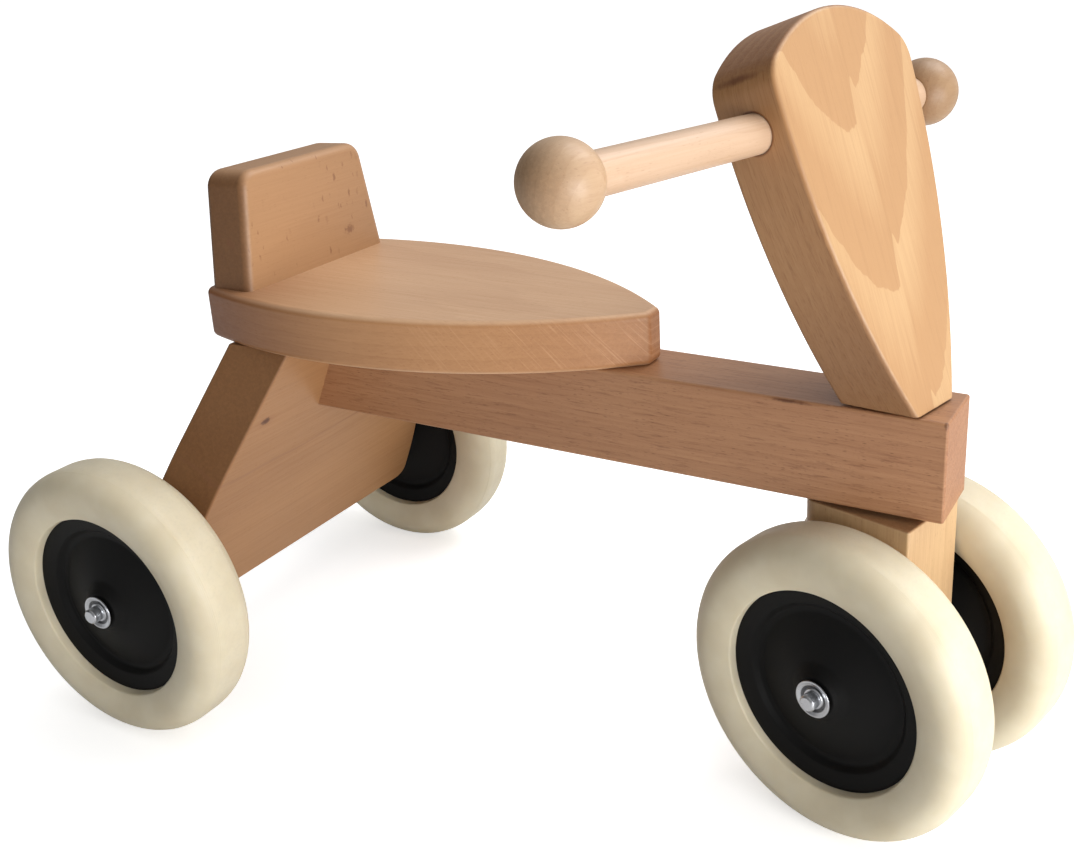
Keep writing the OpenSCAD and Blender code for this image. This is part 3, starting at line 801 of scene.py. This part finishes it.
def beam_marks(net, point, normal, colour, rough, height):
    nick = blot(net, point, (330, -19, 200.5), (13.0, 1.5, 1.3), 0.8, 1.1, 0.3)
    chip = blot(net, point, (402.5, -19, 201), (1.4, 2.2, 3.0), 0.5, 0.6)
    mark = net.math("MAXIMUM", net.math("MULTIPLY", nick, 0.9), net.math("MULTIPLY", chip, 0.6))
    # short dark pores along the sides
    pores = net.noise(net.vmath("MULTIPLY", point, (0.07, 0.75, 0.75)), 1, 3, 0.7)
    colour = net.mix(net.math("MULTIPLY", net.mapr(pores, 0.52, 0.72), 0.5), colour, srgb(118, 72, 47))
    colour = net.mix(mark, colour, srgb(92, 54, 34))
    return colour, rough, net.math("SUBTRACT", height, net.math("MULTIPLY", mark, 0.6))


def seat_marks(net, point, normal, colour, rough, height):
    # saw lines that slant down and forwards on the side near the tip
    across = net.vmath("DOT_PRODUCT", point, (0.81, 0, 0.59))
    along = net.vmath("DOT_PRODUCT", point, (-0.59, 0, 0.81))
    place = net.join(net.math("MULTIPLY", across, 0.62), net.math("MULTIPLY", along, 0.02))
    lines = net.mapr(net.noise(place, 1, 2, 0.75), 0.50, 0.70)
    x, y, _ = net.split(point)
    level = net.math("ABSOLUTE", net.vmath("DOT_PRODUCT", normal, (0, 0, 1)))
    where = net.math("MULTIPLY", net.mapr(level, 0.6, 0.2), net.mapr(x, 120, 205))
    # painted shade: the sides are darker and browner than the top
    colour = net.tint(colour, (0.77, 0.64, 0.50), net.mapr(level, 0.85, 0.3))
    # painted shade: the rear part is darker and browner towards the right, near the backrest
    rear = net.math("MULTIPLY", net.mapr(x, 130, 15), net.mapr(y, 20, -60))
    colour = net.tint(colour, (0.58, 0.44, 0.36), rear)
    mark = net.math("MULTIPLY", lines, where)
    colour = net.mix(net.math("MULTIPLY", mark, 0.26), colour, srgb(214, 170, 130))
    return colour, rough, net.math("ADD", height, net.math("MULTIPLY", mark, 0.5))


def post_warp(net, own):
    """A step in the growth rings near the middle, which notches the flame figure."""
    lane = net.math("MULTIPLY_ADD", net.noise(net.scale(own, 18.0), 1, 1), 0.008, -0.0075)
    off = net.math("SUBTRACT", net.split(own)[1], lane)
    step = net.mapr(off, 0.0, 0.003, 0.0, -0.0013)
    peak = net.mapr(net.math("ABSOLUTE", net.math("SUBTRACT", off, 0.003)), 0.0, 0.003, -0.0006, 0.0)
    return net.vmath("ADD", own, net.join(z=net.math("ADD", step, peak)))


def post_marks(net, point, normal, colour, rough, height):
    # fine straight streaks up both sides
    streaks = net.noise(net.vmath("MULTIPLY", point, (0.018, 0.5, 1.3)), 1, 3, 0.7)
    side = net.math("ABSOLUTE", net.vmath("DOT_PRODUCT", normal, tuple(ACROSS)))
    flank = net.mapr(side, 0.3, 0.8)
    mark = net.math("MULTIPLY", net.mapr(streaks, 0.48, 0.72), net.math("MULTIPLY_ADD", flank, 0.5, 0.25))
    colour = net.tint(colour, (0.74, 0.66, 0.60), mark)
    # painted shade: both flanks are darker and browner than the front, most of all low down
    colour = net.tint(colour, (0.84, 0.72, 0.64), flank)
    x, _, z = net.split(point)
    # painted shade, deeper on the flanks low down
    colour = net.tint(colour, (0.66, 0.62, 0.60), net.math("MULTIPLY", flank, net.mapr(x, 95, 15)))
    # painted shade: a thin dark line round the rod, where it meets its hole
    off = net.vmath("DISTANCE", net.join(x, 0.0, z), (BAR_UP, 0, POST_T / 2))
    line = net.mapr(net.math("ABSOLUTE", net.math("SUBTRACT", off, BAR_R + 0.4)), 0.9, 0.2)
    colour = net.mix(net.math("MULTIPLY", line, 0.7), colour, srgb(112, 66, 38))
    # a darker streak across the flank above the rod
    scar = blot(net, point, (BAR_UP + 22.8, -POST_HALF, 20), (2.4, 8, 17), 0.8, 0.7, 0.25)
    colour = net.mix(net.math("MULTIPLY", scar, 0.7), colour, srgb(104, 60, 40))
    return colour, rough, height


ACROSS = STEER.to_3x3() @ Vector((0, 1, 0))
wood("beam", "mat_beam", (177, 131, 94), (142, 95, 64), seed=(11, 3, 7), pith=(0, 60, -40), tilt=0.01,
     spacing=5.0, ring=0.35, fleck=0.6, fleck_col=(98, 58, 37), extra=beam_marks, end=(0.95, 0.9, 0.85))
wood("seat_board", "mat_seat", (206, 167, 130), (178, 135, 100), seed=(47, 13, 5), pith=(0, -30, -90),
     tilt=0.03, spacing=6.0, ring=0.3, fleck=0.3, fleck_col=(140, 93, 64), extra=seat_marks,
     end=(0.72, 0.6, 0.5))
wood("back_rest", "mat_rest", (169, 128, 90), (150, 109, 74), seed=(5, 31, 71), pith=(0, 10, 120),
     tilt=0.05, spacing=7.0, ring=0.16, fleck=0.2, fleck_col=(120, 79, 52), axis="Y", extra=rest_marks,
     end=(0.55, 0.48, 0.42))
wood("board", "mat_board", (164, 121, 81), (141, 99, 64), seed=(19, 57, 3), pith=(0, 30, 110), tilt=0.03,
     spacing=6.0, ring=0.2, fleck=0.25, fleck_col=(117, 74, 49), axis="Y", extra=board_marks,
     end=(0.62, 0.56, 0.5))
wood("post", "mat_post", (194, 158, 115), (176, 135, 93), seed=(3, 7, 19), pith=(0, -8, 194.04), tilt=0.09,
     spacing=6.3, ring=0.95, fleck=0.10, fleck_col=(139, 92, 61), bend=0.08, wobble=0.5, saw=1.0,
     extra=post_marks, end=(0.62, 0.5, 0.42), quiet=ACROSS, warp=post_warp)
wood("block", "mat_block", (201, 168, 126), (170, 131, 93), seed=(23, 41, 13), pith=(0, 70, 30), tilt=0.0,
     spacing=4.0, ring=0.35, fleck=0.35, fleck_col=(126, 86, 60))
wood("bar", "mat_bar", (200, 170, 143), (180, 145, 114), seed=(61, 5, 9), pith=(0, 30, 12), tilt=0.0,
     spacing=3.2, ring=0.4, fleck=0.25, fleck_col=(152, 110, 82), axis="Y", bump=0.16)
wood("ball_right", "mat_ball_right", (188, 158, 127), (167, 133, 101), seed=(9, 9, 43), pith=(0, 22, 6),
     tilt=0.0, spacing=3.0, ring=0.35, fleck=0.28, fleck_col=(136, 96, 69), axis="Y", bump=0.18,
     end=(0.9, 0.85, 0.8))
# painted shade: the left ball is given darker, browner wood than the right one, for the post's shadow on it
wood("ball_left", "mat_ball_left", (163, 132, 99), (144, 109, 77), seed=(33, 5, 21), pith=(0, 22, 6),
     tilt=0.0, spacing=3.0, ring=0.35, fleck=0.28, fleck_col=(118, 80, 54), axis="Y", bump=0.18,
     end=(0.9, 0.85, 0.8))


def tyre_material():
    material, net, shader = base_material("mat_tyre")
    point = net.scale(loc_of(net), 1000)
    x, y, z = net.split(point)
    radius = net.vmath("LENGTH", net.join(x, 0.0, z))
    broad = net.noise(point, 0.035, 3, 0.55)
    fine = net.noise(point, 0.6, 4, 0.6)
    colour = net.mix(net.mapr(broad, 0.3, 0.7), srgb(215, 205, 180), srgb(206, 194, 167))
    # a trace of dirt where the tread meets the floor
    wear = net.math("MULTIPLY", net.mapr(radius, 73.2, 75.2), net.mapr(fine, 0.45, 0.75, 0.0, 0.35))
    net.feed(shader.inputs["Base Color"], net.mix(wear, colour, srgb(196, 188, 166)))
    net.feed(shader.inputs["Roughness"], net.math("MULTIPLY_ADD", fine, 0.12, 0.40))
    shader.inputs["Specular IOR Level"].default_value = 0.4
    shader.inputs["Subsurface Weight"].default_value = 0.4
    shader.inputs["Subsurface Radius"].default_value = (1.0, 0.85, 0.6)
    shader.inputs["Subsurface Scale"].default_value = 0.008
    # fine turned lines on the tread
    lines = net.math("SINE", net.math("MULTIPLY", y, 2 * math.pi / 0.9))
    lines = net.math("MULTIPLY", lines, net.mapr(radius, 70.5, 74.0, 0.0, 0.10))
    net.relief(shader, net.math("ADD", lines, net.math("MULTIPLY", fine, 0.4)), 0.12, 0.0005)
    return material


def hub_material():
    material, net, shader = base_material("mat_hub")
    point = net.scale(loc_of(net), 1000)
    broad = net.noise(point, 0.05, 2, 0.5)
    fine = net.noise(point, 2.2, 3, 0.6)
    net.feed(shader.inputs["Base Color"], net.mix(broad, srgb(8, 8, 8), srgb(14, 13, 12)))
    net.feed(shader.inputs["Roughness"], net.math("MULTIPLY_ADD", fine, 0.16, 0.5))
    shader.inputs["Specular IOR Level"].default_value = 0.18
    net.relief(shader, fine, 0.10, 0.0004)
    return material


def metal_material(name, colour, rough, groove=0.0):
    material, net, shader = base_material(name)
    fine = net.noise(net.scale(net.put("ShaderNodeTexCoord").outputs["Object"], 1000), 0.9, 4, 0.6)
    tone = net.mix(fine, srgb(*colour), srgb(*[int(c * 0.88) for c in colour]))
    if groove:
        # shade kept in the bottom of the cups
        flat = net.vmath("MULTIPLY", loc_of(net), (1000, 0, 1000))
        off = net.math("ABSOLUTE", net.math("SUBTRACT", net.vmath("LENGTH", flat), groove))
        tone = net.mix(net.mapr(off, 1.1, 0.5, 0.0, 0.85), tone, srgb(46, 46, 48))
    net.feed(shader.inputs["Base Color"], tone)
    shader.inputs["Metallic"].default_value = 1.0
    net.feed(shader.inputs["Roughness"], net.math("MULTIPLY_ADD", fine, 0.2, rough))
    net.relief(shader, fine, 0.08, 0.0002)
    return material


def plain_material(name, light, dark, rough):
    material, net, shader = base_material(name)
    fine = net.noise(net.scale(net.put("ShaderNodeTexCoord").outputs["Object"], 1000), 0.4, 4, 0.6)
    net.feed(shader.inputs["Base Color"], net.mix(fine, srgb(*light), srgb(*dark)))
    net.feed(shader.inputs["Roughness"], net.math("MULTIPLY_ADD", fine, 0.15, rough))
    net.relief(shader, fine, 0.1, 0.0003)
    return material


tyre, hub = tyre_material(), hub_material()
zinc = metal_material("mat_zinc", (214, 216, 220), 0.2, 5.9)
steel = metal_material("mat_screw", (190, 190, 186), 0.28)
nylon = plain_material("mat_nylon", (120, 112, 100), (100, 94, 84), 0.5)
pegs = plain_material("mat_pegs", (226, 190, 148), (200, 158, 116), 0.55)
for start, material in (("tyre_", tyre), ("hub_", hub), ("axle_", zinc), ("caps_", zinc)):
    for name, ob in pieces.items():
        if name.startswith(start):
            dress(ob, material)
# nodes of the frame that are seen as they are
plain_nodes = (
    (steel, ("seat_screws", "backrest_screws", "steering_screws")),
    (zinc, ("rear_washers", "front_washers")),
    (nylon, ("steering_bush_upper", "steering_bush_lower")),
    (pegs, ("beam_dowels", "seat_dowels", "steering_shaft")),
)
for material, names in plain_nodes:
    for name in names:
        dress(frame["nodes"][name], material)

# ---------------------------------------------------------------- floor, light and camera
FLOOR_HALF = 6.0
mesh = bmesh.new()
for x, y in ((-1, -1), (1, -1), (1, 1), (-1, 1)):
    mesh.verts.new((x * FLOOR_HALF, y * FLOOR_HALF, 0))
mesh.faces.new(mesh.verts)
floor = add_object("floor", mesh)
material, net, shader = base_material("mat_floor")
shader.inputs["Base Color"].default_value = (0.85, 0.85, 0.85, 1)
shader.inputs["Roughness"].default_value = 0.9
shader.inputs["Specular IOR Level"].default_value = 0.1
# white paper to the eye, while the light it throws back stays moderate
paper = net.put("ShaderNodeBsdfDiffuse")
paper.inputs[0].default_value = (0.9, 0.9, 0.9, 1)
glow = net.put("ShaderNodeEmission")
glow.inputs["Strength"].default_value = 0.55
both = net.put("ShaderNodeAddShader")
net.feed(both.inputs[0], paper.outputs[0])
net.feed(both.inputs[1], glow.outputs[0])
pick = net.put("ShaderNodeMixShader")
net.feed(pick.inputs[0], net.put("ShaderNodeLightPath").outputs["Is Camera Ray"])
net.feed(pick.inputs[1], shader.outputs[0])
net.feed(pick.inputs[2], both.outputs[0])
net.feed(material.node_tree.nodes["Material Output"].inputs["Surface"], pick.outputs[0])
dress(floor, material)

world = bpy.data.worlds.new("studio")
bpy.context.scene.world = world
world.use_nodes = True
net = Nodes(world.node_tree)
# a white room with its big window ahead of the rider
away = net.vmath("NORMALIZE", net.put("ShaderNodeTexCoord").outputs["Generated"])
toward = net.vmath("DOT_PRODUCT", away, Vector((0.5, 0.5, 0.7)).normalized())
amount = net.put("ShaderNodeMix", data_type="FLOAT")
net.feed(amount.inputs[0], net.put("ShaderNodeLightPath").outputs["Is Camera Ray"])
net.feed(amount.inputs[2], net.mapr(toward, -0.4, 1.0, 0.04, 0.9))
net.feed(amount.inputs[3], 1.1)
background = world.node_tree.nodes["Background"].inputs
net.feed(background["Color"], (1.0, 1.0, 1.0, 1))
net.feed(background["Strength"], amount.outputs[0])


def area(name, loc, aim, size, power):
    light = bpy.data.lights.new(name, "AREA")
    light.shape = "RECTANGLE"
    light.size, light.size_y = size
    light.energy = power
    ob = bpy.data.objects.new(name, light)
    bpy.context.scene.collection.objects.link(ob)
    ob.location = loc
    ob.rotation_euler = (Vector(aim) - Vector(loc)).to_track_quat("-Z", "Y").to_euler()


area("key", (1.1, -0.45, 0.2), (0, 0, 0.14), (0.8, 0.5), 12.5)
area("top", (0.5, 0.6, 1.4), (0, 0, 0.1), (1.0, 1.0), 12)

lens = bpy.data.cameras.new("camera")
camera = bpy.data.objects.new("camera", lens)
bpy.context.scene.collection.objects.link(camera)
yaw, pitch, roll = math.radians(27.02), math.radians(19.75), math.radians(-1.45)
forward = Vector((-math.sin(yaw) * math.cos(pitch), math.cos(yaw) * math.cos(pitch), -math.sin(pitch)))
level = Vector((math.cos(yaw), math.sin(yaw), 0))
upright = level.cross(forward)
right = level * math.cos(roll) + upright * math.sin(roll)
up = -level * math.sin(roll) + upright * math.cos(roll)
axes = Matrix((right, up, -forward)).transposed().to_4x4()
camera.matrix_world = Matrix.Translation((0.3281, -0.506, 0.4169)) @ axes
lens.sensor_fit = "HORIZONTAL"
lens.sensor_width = 36
lens.lens = 42.3633
lens.shift_x, lens.shift_y = -0.111574, -0.070926
lens.clip_start = 0.01
bpy.context.scene.camera = camera

view = bpy.context.scene.view_settings
view.view_transform = "Standard"
view.look = "None"
view.exposure = 0
view.gamma = 1
